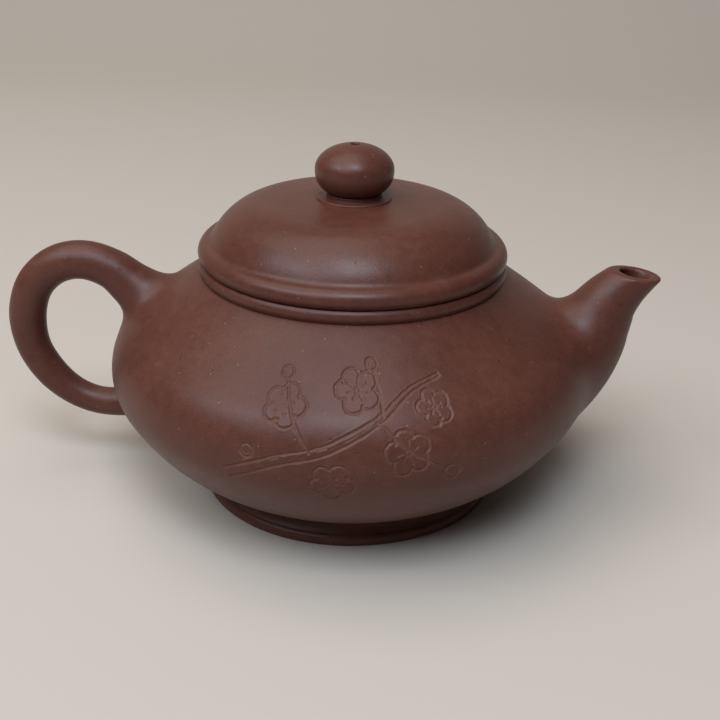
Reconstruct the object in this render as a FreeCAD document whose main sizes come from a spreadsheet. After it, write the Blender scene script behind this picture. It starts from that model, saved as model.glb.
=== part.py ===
# Round, squat clay teapot, built up from clay slabs: a drum-shaped body on a foot ring, a ring
# round its mouth, a short curved spout with a ball strainer behind it, an ear handle, and a
# domed lid that drops into the mouth.
# Millimetres, +Z up, spout towards +X. The origin is the centre of the foot's resting face.
import FreeCAD
import Part
import Sketcher
import math
import os

# Driving sizes. Radii are from the axis and heights from the resting face, unless a name says
# how far one thing stands from another.
SIZES = {
    # body section: a belly arc between an arc under it and a flatter shoulder arc
    "belly_radius": 61.0,
    "belly_height": 33.65,
    "belly_arc": 14.75,
    "under_arc": 47.3,
    "shoulder_arc": 223.6,
    "wall": 3.2,
    "shoulder_drop": 5.35,
    # foot ring
    "foot_height": 6.2,
    "foot_inner": 34.0,
    "foot_contact": 38.1,
    "foot_bead": 38.6,
    "foot_bead_height": 1.2,
    "foot_crease": 37.5,
    "foot_crease_height": 3.0,
    "neck_radius": 36.4,
    # ring round the mouth, in line with the lid's bead
    "ring_base": 57.85,
    "ring_width": 4.3,
    "ring_height": 3.15,
    "ring_bulge": 0.65,
    "ring_middle": 1.6,
    "ring_top_set_in": 0.15,
    # lid
    "lid_clearance": 0.3,
    "flange_depth": 9.0,
    "flange_wall": 2.4,
    "lid_radius": 35.4,
    "bead_height": 4.6,
    "bead_foot": 2.1,
    "bead_bulge": 3.05,
    "bead_middle": 2.2,
    "dome_height": 10.4,
    "crown_arc": 280.0,
    "dome_edge_arc": 16.0,
    "land_radius": 9.5,
    "lid_wall": 3.2,
    "hollow_radius": 20.0,
    "hollow_drop": 1.7,
    "vent_radius": 1.0,
    # knob and its stepped collar
    "collar_radius": 9.2,
    "collar_height": 0.5,
    "collar_step": 2.3,
    "collar_step_height": 1.0,
    "knob_radius": 9.65,
    "knob_half_height": 6.64,
    "knob_sink": 1.4,
    # ball strainer on the inner wall
    "strainer_radius": 11.0,
    "strainer_wall": 1.8,
    "strainer_up": 3.35,
    "strainer_hole": 1.2,
    "strainer_ring_angle": 28.0,
}
STRAINER_RINGS = 2
STRAINER_HOLES_PER_RING = 6

# Round sections across the spout, its bore and the handle, from root to tip. Each has its distance
# out from the belly's widest line, its height above that line, and its radius.
SECTIONS = {
    "spout": {
        "root": (-21.0, -4.35, 17.0),
        "flare": (-8.8, 2.25, 15.2),
        "waist": (-1.2, 9.45, 10.3),
        "neck": (3.2, 16.95, 7.4),
        "mouth": (9.9, 25.85, 5.3),
    },
    "bore": {
        "root": (-13.0, 0.35, 7.5),
        "entry": (-4.0, 3.35, 7.5),
        "bend": (1.0, 9.85, 6.4),
        "throat": (3.9, 17.15, 4.8),
        "mouth": (9.9, 25.85, 3.7),
    },
    "handle": {
        "shoulder_root": (-14.0, 9.5, 8.5),
        "shoulder": (-4.4, 16.95, 6.1),
        "crest": (8.5, 23.2, 5.0),
        "turn": (19.6, 17.95, 4.8),
        "back": (23.8, 6.35, 4.7),
        "heel": (18.1, -9.65, 4.1),
        "underside": (5.3, -16.8, 3.75),
        "belly_root": (-15.0, -14.65, 4.8),
    },
}
SECTION_SIZES = ("out", "up", "radius")

# Which way each section faces, in degrees above the outward direction
SECTION_ANGLES = {
    "spout": (28.0, 36.0, 54.0, 60.0, 82.0),
    "bore": (15.0, 28.0, 58.0, 62.0, 82.0),
    "handle": (45.0, 46.0, 0.0, -50.0, -89.0, -129.0, -169.0, -198.0),
}
BODY_ARCS = ("under_arc", "belly_arc", "shoulder_arc")
SPOUT_SIDE = 1
HANDLE_SIDE = -1

# Sums of sizes that several pieces share
SEAT = "ring_base + ring_height"
CREASE = SEAT + " + bead_height"
LAND = CREASE + " + dome_height"
COLLAR_TOP = LAND + " + collar_height + collar_step_height"
BASE_TOP = "foot_height + wall"
CEILING = "ring_base - wall"
SHOULDER_JOINT = "ring_base - shoulder_drop"
LID_OUTER = "lid_radius + bead_bulge"
RING_EDGE = LID_OUTER + " - ring_bulge"
MOUTH = RING_EDGE + " - ring_width"
FLANGE_OUTER = MOUTH + " - lid_clearance"
FLANGE_INNER = FLANGE_OUTER + " - flange_wall"
KNOB_HEIGHT = "knob_half_height + knob_half_height"

# A corner's size that is left to an arc, and the sketch's number for an arc's centre
FREE = "free"
CENTRE = 3

doc = FreeCAD.newDocument("clay_teapot")
sheet = doc.addObject("Spreadsheet::Sheet", "Sheet")
for family, sections in SECTIONS.items():
    for (section, numbers), angle in zip(sections.items(), SECTION_ANGLES[family]):
        for what, number in zip(SECTION_SIZES, numbers):
            SIZES["_".join((family, section, what))] = number
        SIZES["_".join((family, section, "angle"))] = angle
for row, (alias, number) in enumerate(SIZES.items(), start=1):
    sheet.set("A%d" % row, alias)
    sheet.set("B%d" % row, str(number))
    sheet.setAlias("B%d" % row, alias)
doc.recompute()


def amount(text):
    """Number that a sum of sizes, such as "foot_height + wall", comes to."""
    total = 0.0
    sign = 1.0
    for word in text.split():
        if word in ("+", "-"):
            sign = 1.0 if word == "+" else -1.0
        elif word != "0":
            total += sign * SIZES[word]
    return total


def on_sheet(text):
    """The same sum, as an expression on the sheet's cells."""
    return " ".join(word if word in ("+", "-", "0") else "Sheet." + word for word in text.split())


def bind(thing, path, text):
    thing.setExpression(path, on_sheet(text))


class Outline:
    """Closed outline of a turned piece, in its body's XZ plane, held by the sheet's sizes.

    A corner is a pair of sums, its radius and its height, with FREE for one that an arc decides,
    or it is None where two arcs run into each other. Edges are drawn in turn round the outline,
    and an edge is kept as its number in the sketch and the sketch's numbers for its two ends.
    Guides are drawn too, and are no part of the outline."""

    def __init__(self, label):
        self.body = doc.addObject("PartDesign::Body", label)
        self.sketch = self.body.newObject("Sketcher::SketchObject", label + "_outline")
        plane = next(f for f in self.body.Origin.OriginFeatures if f.Role == "XZ_Plane")
        self.sketch.AttachmentSupport = [(plane, "")]
        self.sketch.MapMode = "FlatFace"
        self.edges = []

    def tie(self, *constraint):
        self.sketch.addConstraint(Sketcher.Constraint(*constraint))

    def size(self, text, *constraint):
        number = self.sketch.addConstraint(Sketcher.Constraint(*constraint, amount(text)))
        name = "size_%d" % number
        self.sketch.renameConstraint(number, name)
        bind(self.sketch, "Constraints." + name, text)

    def hold(self, edge, end, corner):
        """Tie a point of an edge to its radius and height."""
        for kind, text, axis in (("DistanceX", corner[0], -2), ("DistanceY", corner[1], -1)):
            if text == "0":
                self.tie("PointOnObject", edge, end, axis)
            elif text != FREE:
                self.size(text, kind, -1, 1, edge, end)

    def line(self, start, end):
        segment = Part.LineSegment(FreeCAD.Vector(*start, 0), FreeCAD.Vector(*end, 0))
        self.edges.append((self.sketch.addGeometry(segment), 1, 2))

    def arc(self, centre, start, end, clockwise=False, guide=False):
        angles = [math.atan2(p[1] - centre[1], p[0] - centre[0]) for p in (start, end)]
        if clockwise:
            angles.reverse()
        radius = math.dist(centre, start)
        circle = Part.Circle(FreeCAD.Vector(*centre, 0), FreeCAD.Vector(0, 0, 1), radius)
        arc = Part.ArcOfCircle(circle, *angles)
        number = self.sketch.addGeometry(arc, guide)
        if not guide:
            self.edges.append((number, 2, 1) if clockwise else (number, 1, 2))
        return number

    def arc_through(self, start, middle, end):
        """Arc that passes through a held point between its ends."""
        places = [tuple(amount(text) for text in corner) for corner in (start, middle, end)]
        points = [FreeCAD.Vector(*place, 0) for place in places]
        centre = Part.Circle(*points).Center
        clockwise = (points[1] - points[0]).cross(points[2] - points[0]).z < 0
        arc = self.arc((centre.x, centre.y), places[0], places[2], clockwise)
        guide = self.sketch.addGeometry(Part.Point(points[1]), True)
        self.hold(guide, 1, middle)
        self.tie("PointOnObject", guide, 1, arc)

    def parallel(self, arc, guide, end):
        """Hold an arc one wall inside a guide arc, along the guide's normal at one of its ends."""
        centre = self.sketch.getPoint(guide, CENTRE)
        outer = self.sketch.getPoint(guide, end)
        normal = self.sketch.addGeometry(Part.LineSegment(centre, outer), True)
        self.tie("Coincident", normal, 1, guide, CENTRE)
        self.tie("Coincident", normal, 2, guide, end)
        inward = (centre - outer).normalize() * amount("wall")
        inner = self.sketch.addGeometry(Part.Point(outer + inward), True)
        self.tie("PointOnObject", inner, 1, normal)
        self.size("wall", "Distance", inner, 1, guide, end)
        self.tie("PointOnObject", inner, 1, arc)

    def close(self, corners):
        """Join the edges, tie the corners and turn the outline into a solid."""
        for number, corner in enumerate(corners):
            edge, first, last = self.edges[number]
            before, before_first, before_last = self.edges[number - 1]
            joint = "Tangent" if corner is None else "Coincident"
            self.tie(joint, before, before_last, edge, first)
            if corner is not None:
                self.hold(edge, first, corner)
        turn = self.body.newObject("PartDesign::Revolution", self.body.Label + "_turn")
        turn.Profile = self.sketch
        turn.ReferenceAxis = (self.sketch, ["V_Axis"])
        turn.Angle = 360.0
        return self.body


def turned(label, *corners):
    """Turned piece from corners (radius, height), each with an optional third entry: the point
    that the arc to the next corner passes through."""
    outline = Outline(label)
    for number, corner in enumerate(corners):
        following = corners[(number + 1) % len(corners)]
        if len(corner) == 3:
            outline.arc_through(corner[:2], corner[2], following[:2])
        else:
            outline.line([amount(t) for t in corner[:2]], [amount(t) for t in following[:2]])
    return outline.close([corner[:2] for corner in corners])


def tangent_centre(held_centre, held_radius, point, radius, side):
    """Centre of a wider arc that passes through a point and runs into a held arc."""
    reach = radius - held_radius
    across = math.dist(held_centre, point)
    along = (reach ** 2 - radius ** 2 + across ** 2) / (2 * across)
    off = side * math.sqrt(reach ** 2 - along ** 2)
    unit = [(b - a) / across for a, b in zip(held_centre, point)]
    return (held_centre[0] + along * unit[0] - off * unit[1],
            held_centre[1] + along * unit[1] + off * unit[0])


def beyond(far, near, radius):
    """Point at a radius from one centre, on the ray from another centre through it."""
    reach = math.dist(far, near)
    return tuple(b + (b - a) * radius / reach for a, b in zip(far, near))


def level_point(centre, radius, height):
    """Outer point of a circle at a height."""
    return (centre[0] + math.sqrt(radius ** 2 - (height - centre[1]) ** 2), height)


def body_arcs(outline, bottom, top, inset="", guide=False):
    """Three arcs of the body's section, or of a line inset from it, between two heights: under the
    belly, at its widest line and over the shoulder."""
    belly = (amount("belly_radius - belly_arc"), amount("belly_height"))
    belly_arc = amount("belly_arc")
    neck = (amount("neck_radius"), amount("foot_height"))
    rim = (amount(RING_EDGE), amount("ring_base"))
    under = tangent_centre(belly, belly_arc, neck, amount("under_arc"), -1)
    shoulder = tangent_centre(belly, belly_arc, rim, amount("shoulder_arc"), 1)
    low, middle, high = (amount(name + inset) for name in BODY_ARCS)
    points = [level_point(under, low, amount(bottom)), beyond(under, belly, middle),
              beyond(shoulder, belly, middle), level_point(shoulder, high, amount(top))]
    arcs = []
    for name, centre, start, end in zip(BODY_ARCS, (under, belly, shoulder), points, points[1:]):
        arcs.append(outline.arc(centre, start, end, guide=guide))
        outline.size(name + inset, "Radius", arcs[-1])
    outline.hold(arcs[1], CENTRE, ("belly_radius - belly_arc", "belly_height"))
    return arcs, points


def close_at_axis(outline, points, bottom, top):
    """Lines from the ends of the arcs to the axis, and along it."""
    low, high = amount(bottom), amount(top)
    outline.line(points[-1], (0, high))
    outline.line((0, high), (0, low))
    outline.line((0, low), points[0])


def pot_outside():
    """The body's outside as one filled solid, from the foot ring up to the mouth ring."""
    outline = Outline("pot_outside")
    arcs, points = body_arcs(outline, "foot_height", "ring_base")
    close_at_axis(outline, points, "foot_height", "ring_base")
    return outline.close([("neck_radius", "foot_height"), None, None, (RING_EDGE, "ring_base"),
                          ("0", "ring_base"), ("0", "foot_height")])


def pot_inside():
    """The body's hollow as a solid, one wall inside the outside all round."""
    outline = Outline("pot_inside")
    guides, points = body_arcs(outline, "foot_height", "ring_base", guide=True)
    for below, above in zip(guides, guides[1:]):
        outline.tie("Tangent", below, 2, above, 1)
    outline.hold(guides[0], 1, ("neck_radius", "foot_height"))
    outline.hold(guides[2], 2, (RING_EDGE, "ring_base"))
    arcs, points = body_arcs(outline, BASE_TOP, CEILING, " - wall")
    close_at_axis(outline, points, BASE_TOP, CEILING)
    outline.parallel(arcs[0], guides[0], 1)
    outline.parallel(arcs[2], guides[2], 2)
    return outline.close([(FREE, BASE_TOP), None, None, (FREE, CEILING), ("0", CEILING),
                          ("0", BASE_TOP)])


def lid_disc():
    """Domed slab: a flat land under the collar, a low crown, a rounder edge and a hollow."""
    crease = (amount("lid_radius"), amount(CREASE))
    land = (amount("land_radius"), amount(LAND))
    crown_arc = amount("crown_arc")
    edge_arc = amount("dome_edge_arc")
    crown = (0.0, land[1] - math.sqrt(crown_arc ** 2 - land[0] ** 2))
    reach = crown_arc - edge_arc
    across = math.dist(crown, crease)
    along = (reach ** 2 - edge_arc ** 2 + across ** 2) / (2 * across)
    off = math.sqrt(reach ** 2 - along ** 2)
    unit = (crease[0] / across, (crease[1] - crown[1]) / across)
    edge = (along * unit[0] - off * unit[1], crown[1] + along * unit[1] + off * unit[0])
    turn = beyond(crown, edge, edge_arc)

    hollow_top = LAND + " - lid_wall"
    corners = [(FLANGE_INNER, SEAT), ("lid_radius", SEAT), ("lid_radius", CREASE), None,
               ("land_radius", LAND), ("vent_radius", LAND), ("vent_radius", hollow_top),
               (FLANGE_INNER, CREASE)]
    places = [corner and tuple(amount(text) for text in corner) for corner in corners]
    outline = Outline("lid_disc")
    outline.line(places[0], places[1])
    outline.line(places[1], places[2])
    edge_edge = outline.arc(edge, crease, turn)
    crown_edge = outline.arc(crown, turn, land)
    outline.line(places[4], places[5])
    outline.line(places[5], places[6])
    outline.arc_through(corners[6], ("hollow_radius", hollow_top + " - hollow_drop"), corners[7])
    outline.line(places[7], places[0])
    outline.size("dome_edge_arc", "Radius", edge_edge)
    outline.size("crown_arc", "Radius", crown_edge)
    outline.tie("PointOnObject", crown_edge, CENTRE, -2)
    return outline.close(corners)


def tube(name, side):
    """Solid through a tube's round sections, on the spout's side or the handle's."""
    circles = []
    for section in SECTIONS[name]:
        stem = "_".join((name, section, ""))
        circle = doc.addObject("Part::Circle", stem + "circle")
        circle.Placement.Rotation = FreeCAD.Rotation(FreeCAD.Vector(0, side, 0), 0)
        bind(circle, "Radius", stem + "radius")
        circle.setExpression("Placement.Base.x",
                             "%d * (Sheet.belly_radius + Sheet.%sout)" % (side, stem))
        bind(circle, "Placement.Base.z", "belly_height + " + stem + "up")
        circle.setExpression("Placement.Rotation.Angle", "90 - Sheet.%sangle" % stem)
        circles.append(circle)
    loft = doc.addObject("Part::Loft", name + "_loft")
    loft.Sections = circles
    loft.Solid = True
    return loft


def boolean(kind, label, base, tool):
    result = doc.addObject("Part::" + kind, label)
    result.Base = base
    result.Tool = tool
    result.Label = label
    return result


def disc(label, radius, bottom, height):
    """Round blank about the Z axis."""
    blank = doc.addObject("Part::Cylinder", label)
    bind(blank, "Radius", radius)
    bind(blank, "Height", height)
    bind(blank, "Placement.Base.z", bottom)
    return blank


def ball(label, radius):
    """Sphere about the middle of the strainer, which is on the inner wall."""
    sphere = doc.addObject("Part::Sphere", label)
    bind(sphere, "Radius", radius)
    bind(sphere, "Placement.Base.x", "belly_radius - wall")
    bind(sphere, "Placement.Base.z", "belly_height + strainer_up")
    return sphere


def strainer_drills():
    """Pins across the strainer's shell: one straight in from the wall, then rings round it."""
    pins = []
    for ring in range(STRAINER_RINGS + 1):
        count = max(1, ring * STRAINER_HOLES_PER_RING)
        lean = math.radians(ring * amount("strainer_ring_angle"))
        for place in range(count):
            around = 2 * math.pi * place / count
            way = FreeCAD.Vector(-math.cos(lean), math.sin(lean) * math.cos(around),
                                 math.sin(lean) * math.sin(around))
            pin = doc.addObject("Part::Cylinder", "strainer_pin")
            pin.Placement.Rotation = FreeCAD.Rotation(FreeCAD.Vector(0, 0, 1), way)
            bind(pin, "Radius", "strainer_hole")
            bind(pin, "Height", "strainer_wall + strainer_wall + strainer_wall")
            middle = {"x": "belly_radius - wall", "y": "0", "z": "belly_height + strainer_up"}
            for axis, text in middle.items():
                start = "%s + (%f) * (Sheet.strainer_radius - 2 * Sheet.strainer_wall)"
                pin.setExpression("Placement.Base." + axis, start % (on_sheet(text), getattr(way, axis)))
            pins.append(pin)
    drills = doc.addObject("Part::Compound", "strainer_drills")
    drills.Links = pins
    return drills


# Filled outside, inside and walls of the pot
outside = pot_outside()
cavity = pot_inside()
mouth_bore = disc("mouth_bore", MOUTH, "belly_height", "ring_base")
hollow = boolean("Fuse", "hollow", cavity, mouth_bore)
walls = boolean("Cut", "walls", outside, hollow)

# Body slabs, cut from the walls at level joints
base_blank = disc("base_blank", "belly_radius", "0", BASE_TOP)
wall_blank = disc("wall_blank", "belly_radius + wall", BASE_TOP,
                  SHOULDER_JOINT + " - foot_height - wall")
shoulder_blank = disc("shoulder_blank", "belly_radius + wall", SHOULDER_JOINT, "ring_base")
bore = tube("bore", SPOUT_SIDE)
base_disc = boolean("Common", "base_disc", walls, base_blank)
belly_band = boolean("Common", "belly_band", walls, wall_blank)
body_wall = boolean("Cut", "body_wall", belly_band, bore)
shoulder_disc = boolean("Common", "shoulder_disc", walls, shoulder_blank)

foot_ring = turned(
    "foot_ring",
    ("foot_inner", "0"),
    ("foot_contact", "0", ("foot_bead", "foot_bead_height")),
    ("foot_crease", "foot_crease_height"),
    ("neck_radius", "foot_height"),
    ("foot_inner", "foot_height"))

mouth_ring = turned(
    "mouth_ring",
    (MOUTH, "ring_base"),
    (RING_EDGE, "ring_base", (LID_OUTER, "ring_base + ring_middle")),
    (RING_EDGE + " - ring_top_set_in", SEAT),
    (MOUTH, SEAT))

# Spout, strainer and handle end on the body's surface
spout_shell = boolean("Cut", "spout_shell", tube("spout", SPOUT_SIDE), bore)
spout = boolean("Cut", "spout", spout_shell, outside)
handle = boolean("Cut", "handle", tube("handle", HANDLE_SIDE), outside)
strainer_shell = boolean("Cut", "strainer_shell", ball("strainer_outside", "strainer_radius"),
                         ball("strainer_inside", "strainer_radius - strainer_wall"))
strainer_blank = boolean("Cut", "strainer_blank", strainer_shell, strainer_drills())
strainer_dome = boolean("Common", "strainer_dome", strainer_blank, cavity)

# Lid, with its bead round the edge and its flange down into the mouth
lid_top = lid_disc()
lid_bead = turned(
    "lid_bead",
    ("lid_radius", SEAT),
    ("lid_radius + bead_foot", SEAT, (LID_OUTER, SEAT + " + bead_middle")),
    ("lid_radius", CREASE))
lid_flange = turned(
    "lid_flange",
    (FLANGE_INNER, SEAT + " - flange_depth"),
    (FLANGE_OUTER, SEAT + " - flange_depth"),
    (FLANGE_OUTER, SEAT),
    (FLANGE_INNER, SEAT))

knob_collar = turned(
    "knob_collar",
    ("vent_radius", LAND),
    ("collar_radius", LAND),
    ("collar_radius", LAND + " + collar_height"),
    ("collar_radius - collar_step", LAND + " + collar_height"),
    ("collar_radius - collar_step", COLLAR_TOP),
    ("vent_radius", COLLAR_TOP))

knob_ball = doc.addObject("Part::Ellipsoid", "knob_ball")
bind(knob_ball, "Radius1", "knob_half_height")
bind(knob_ball, "Radius2", "knob_radius")
bind(knob_ball, "Radius3", "knob_radius")
bind(knob_ball, "Placement.Base.z", COLLAR_TOP + " + knob_half_height - knob_sink")
knob_blank = disc("knob_blank", "knob_radius + collar_radius", COLLAR_TOP, KNOB_HEIGHT)
knob_solid = boolean("Common", "knob_solid", knob_ball, knob_blank)
vent = disc("vent", "vent_radius", LAND, KNOB_HEIGHT + " + knob_radius")
knob = boolean("Cut", "knob", knob_solid, vent)

doc.recompute()

SUB_PARTS = [base_disc, body_wall, shoulder_disc, mouth_ring, foot_ring, spout, strainer_dome,
             handle, lid_top, lid_bead, lid_flange, knob_collar, knob]
for thing in doc.Objects:
    if "Invalid" in thing.State or "Error" in thing.State:
        raise RuntimeError("%s did not build: %s" % (thing.Label, thing.State))
for piece in SUB_PARTS:
    if piece.Shape.isNull() or not piece.Shape.isValid() or len(piece.Shape.Solids) != 1:
        raise RuntimeError("%s is not one sound solid" % piece.Label)

os.makedirs("parts", exist_ok=True)
for piece in SUB_PARTS:
    piece.Shape.exportStep("parts/%s.step" % piece.Label)
    box = piece.Shape.BoundBox
    print("%-14s %9.1f mm3  z %6.2f to %6.2f  x %7.2f to %7.2f"
          % (piece.Label, piece.Shape.Volume, box.ZMin, box.ZMax, box.XMin, box.XMax))
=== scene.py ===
"""Looks of a squat round clay teapot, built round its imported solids.

Sizes are in millimetres and become metres when a mesh is made. Stage and lamps are in metres. +Z is
up, the spout points to +X and the photographed front is -Y.
"""
import math

import bpy
import numpy as np
from mathutils import Matrix, Vector


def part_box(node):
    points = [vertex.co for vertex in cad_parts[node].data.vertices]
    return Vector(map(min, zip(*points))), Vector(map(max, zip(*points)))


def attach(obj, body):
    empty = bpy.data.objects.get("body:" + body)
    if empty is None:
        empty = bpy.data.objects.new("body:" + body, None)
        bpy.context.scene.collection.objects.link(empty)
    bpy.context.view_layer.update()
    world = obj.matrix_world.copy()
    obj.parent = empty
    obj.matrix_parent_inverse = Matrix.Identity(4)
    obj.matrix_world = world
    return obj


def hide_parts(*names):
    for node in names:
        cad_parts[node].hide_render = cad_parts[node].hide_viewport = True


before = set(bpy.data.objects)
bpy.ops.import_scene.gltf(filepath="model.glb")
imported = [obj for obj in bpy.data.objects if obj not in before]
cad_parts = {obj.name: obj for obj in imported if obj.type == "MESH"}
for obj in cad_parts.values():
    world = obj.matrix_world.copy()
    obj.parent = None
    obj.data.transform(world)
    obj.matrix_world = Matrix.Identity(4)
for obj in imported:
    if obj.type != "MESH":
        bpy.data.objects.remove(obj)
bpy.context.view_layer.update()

MM = 0.001

# Body section: arcs under the belly, at its widest line and over the shoulder
BELLY_RADIUS = 61.0
BELLY_HEIGHT = 33.65
BELLY_ARC = 14.75
UNDER_ARC = 47.3
SHOULDER_ARC = 223.6
WALL = 3.2
NECK_RADIUS = 36.4
MOUTH_RADIUS = 33.5

# Ring round the mouth, laid a little into the shoulder
RING_EDGE = 37.8
RING_MIDDLE = 1.6
RING_LEAN = 0.15
RING_TRIM = 0.35
RING_TOP_ROUND = 0.45
RING_MOUTH_ROUND = 0.5
RING_TONGUE = 1.0
RING_SINK = 0.6

# Lid section, with collar and knob
LID_RADIUS = 35.4
LID_WALL = 3.2
BEAD_FOOT = 37.5
BEAD_MIDDLE = 2.2
BEAD_EDGE_ROUND = 0.5
BEAD_EDGE_INSET = 0.45
BEAD_OVERLAP = 0.8
BEAD_DROP = 0.2
DOME_OVERLAP = 0.5
CROWN_ARC = 280.0
DOME_EDGE_ARC = 16.0
LAND_RADIUS = 9.5
FLANGE_INNER = 30.8
FLANGE_OUTER = 33.2
FLANGE_ROUND = 0.8
HOLLOW_RADIUS = 20.0
HOLLOW_DROP = 1.7
VENT_RADIUS = 1.0
COLLAR_RADIUS = 9.2
COLLAR_STEP = 2.3
COLLAR_SPLAY = 0.1
COLLAR_EDGE_ROUND = 0.35
COLLAR_CORNER_ROUND = 0.15
KNOB_UPPER = 6.2
KNOB_LOWER = 6.9
KNOB_UPPER_FULLNESS = 2.0
KNOB_LOWER_FULLNESS = 2.4
KNOB_ROWS = 90
NECK_HEIGHT = 1.0
NECK_ROUND = 0.25
SEAT_SINK = 0.2
VENT_LIP = 0.35

# Foot section
FOOT_INNER = 34.0
FOOT_CONTACT = 38.1
FOOT_BEAD_HEIGHT = 1.2
FOOT_CREASE = (37.5, 3.0)
FOOT_INNER_ROUND = 0.6
FOOT_SINK = 0.3

# Round sections of the spout, its bore and the handle, as x, z and radius along their middle lines
SPOUT = ((44.0, 17.0, 6.6), (48.5, 23.9, 8.3), (53.1, 30.6, 9.6), (57.5, 37.0, 10.1),
         (60.5, 42.6, 9.6), (62.6, 47.4, 8.4), (64.7, 51.9, 7.3), (67.4, 55.5, 6.2),
         (70.3, 58.7, 5.4), (72.6, 61.6, 5.3))
SPOUT_BORE = ((57.0, 37.0, 7.0), (62.0, 43.5, 6.2), (64.9, 50.0, 5.0), (67.7, 55.2, 4.2),
              (70.1, 58.7, 3.2), (72.7, 62.3, 3.2))
SPOUT_MOUTH = (70.9, 59.5)
SPOUT_MOUTH_LEAN = 82.0
HANDLE = ((-47.0, 43.2, 8.4), (-52.5, 47.4, 7.0), (-57.0, 51.0, 5.9), (-61.6, 54.6, 5.2),
          (-67.7, 56.7, 5.0), (-73.6, 56.2, 4.9), (-78.8, 53.3, 4.8), (-82.8, 48.2, 4.75),
          (-84.8, 40.6, 4.7), (-83.9, 32.2, 4.35), (-80.0, 25.0, 4.15), (-74.4, 19.8, 3.8),
          (-67.8, 17.1, 3.7), (-60.5, 17.0, 3.9), (-52.0, 18.6, 4.3), (-46.0, 20.4, 4.8))

# Boxes that hold the spout and the handle with their soft roots
SPOUT_LOW = (36.0, -24.0, 6.0)
SPOUT_HIGH = (80.0, 24.0, 64.0)
HANDLE_LOW = (-93.0, -18.0, 8.0)
HANDLE_HIGH = (-36.0, 18.0, 66.0)

# How softly pieces run into each other
SPOUT_BLEND = 15.0
HANDLE_TOP_BLEND = 7.0
HANDLE_FOOT_BLEND = 2.1
HANDLE_BLEND_LOW = 26.0
HANDLE_BLEND_RISE = 14.0
LIP_ROUND = 1.35
BORE_LIP = 1.3
CREASE_BLEND = 1.5
CREASE_REACH = 3.0

# How spout and handle sink into the body, and how far it swells to meet their rims
EMBED = 1.2
FEATHER = 0.06
RIM_LIFT = 0.10
RIM_DIP = 8.0
ROOT_SWELL = 0.30
ROOT_REACH = 30.0

# Meshes: gaps between points in millimetres or degrees, and angles that count as an edge
SKIN_STEP = 0.6
SKIN_REACH = 4
CARVED_GAP = 0.17
PLAIN_TURN = 1.2
BODY_EDGE = 70.0
RING_PIECE_EDGE = 50.0

# Guards of the calculations: points at a time, and least values to divide by
BATCH = 20000
LEAST_BEND = 1e-6
LEAST_SLOPE = 0.05
TINY = 1e-9

# Unevenness of the potter's hand
HAND_LENGTH = 30.0
HAND_SWELL = 0.10

# Clay colours
CLAY_DARK = (0.082, 0.0252, 0.0162)
CLAY_LIGHT = (0.108, 0.0355, 0.0225)
CLAY_SCUFF = (0.30, 0.20, 0.16)
CLAY_CUT = (0.20, 0.10, 0.07)
CLAY_SPECK = (0.36, 0.26, 0.20)
# Dark tint of the small pits: painted shade inside the holes
PIT_SHADE = (0.030, 0.012, 0.008)
CLAY_SPECULAR = 0.28

# How strongly the clay's marks show
TONE_STOPS = (0.3, 0.7)
MOTTLE_TONES = (0.90, 1.10)
GRAIN_TONES = (0.84, 1.16)
SCUFF_SHARE = 0.10
CUT_SHARE = 0.22
SPECK_SHARE = 0.34
# Share of painted shade in the small pits
PIT_SHADE_SHARE = 0.7
CUT_ROUGHNESS = 0.15
DOT_CORE = 0.6

# Photograph's camera
CAMERA_SPOT = (16.34, -265.2, 153.5)
CAMERA_TURN = 3.0
CAMERA_PITCH = 24.53
CAMERA_ROLL = 1.415
CAMERA_LENS = 55.9
CAMERA_SENSOR = 36.0
CAMERA_NEAR = 0.01

# Stage in metres: a floor that sweeps up into a wall behind the pot
FLOOR_REACH = 8.0
FLOOR_BACK = 0.55
FLOOR_SWEEP = 0.5
FLOOR_TOP = 2.0
FLOOR_COLOUR = (0.53, 0.455, 0.385)
FLOOR_ROUGHNESS = 0.8
WORLD_COLOUR = (0.9, 0.93, 1.0)
WORLD_STRENGTH = 0.05

# Carved spray of blossom: u runs round the belly from the front to the right, v up along its section
FRONT = -88.0
CARVED_HEIGHT = 8.0
CARVED_TURN = 33.0
STEM = ((-26.0, -12.0, 1.3), (-14.0, -6.5, 1.1), (-4.0, -3.5, 1.0), (8.0, 3.0, 0.8), (17.0, 10.0, 0.6),
        (26.0, 13.0, 0.35))
TWIGS = (((-7.0, -4.0), (-11.5, 3.0), (-15.0, 12.0)), ((8.0, 3.0), (15.0, -3.5), (23.0, -8.5)),
         ((9.5, 4.0), (9.0, 10.0), (8.0, 15.0)))
BLOSSOMS = ((-14.0, 6.0, 5.4), (3.5, 10.5, 5.8), (14.5, -4.0, 5.2), (-2.0, -11.0, 4.9),
            (22.0, 5.5, 4.4))
BUDS = ((-15.6, 13.8, 1.7), (24.4, -9.4, 1.8), (7.6, 17.0, 1.6), (-21.0, -5.4, 1.5))
PETALS = 5
PETAL_OUT = 0.58
PETAL_ROUND = 0.42
PETAL_SWEEP = 97.0
PETAL_OUT_SHAKE = 0.03
PETAL_ROUND_SHAKE = 0.04
PETAL_TURN_SHAKE = 3.0
STAMENS = 7
STAMEN_REACH = (0.40, 0.54)
STAMEN_ROOT = 0.42
STAMEN_TURN_SHAKE = 5.0
EYE_ROUND = 0.12
BUD_EYE_ROUND = 0.45
BARK_SPAN = (4, 12, 5)
BARK_LENGTH = (1.2, 2.2)
BARK_SPREAD = 0.6
CURVE_STEPS = 10

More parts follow.
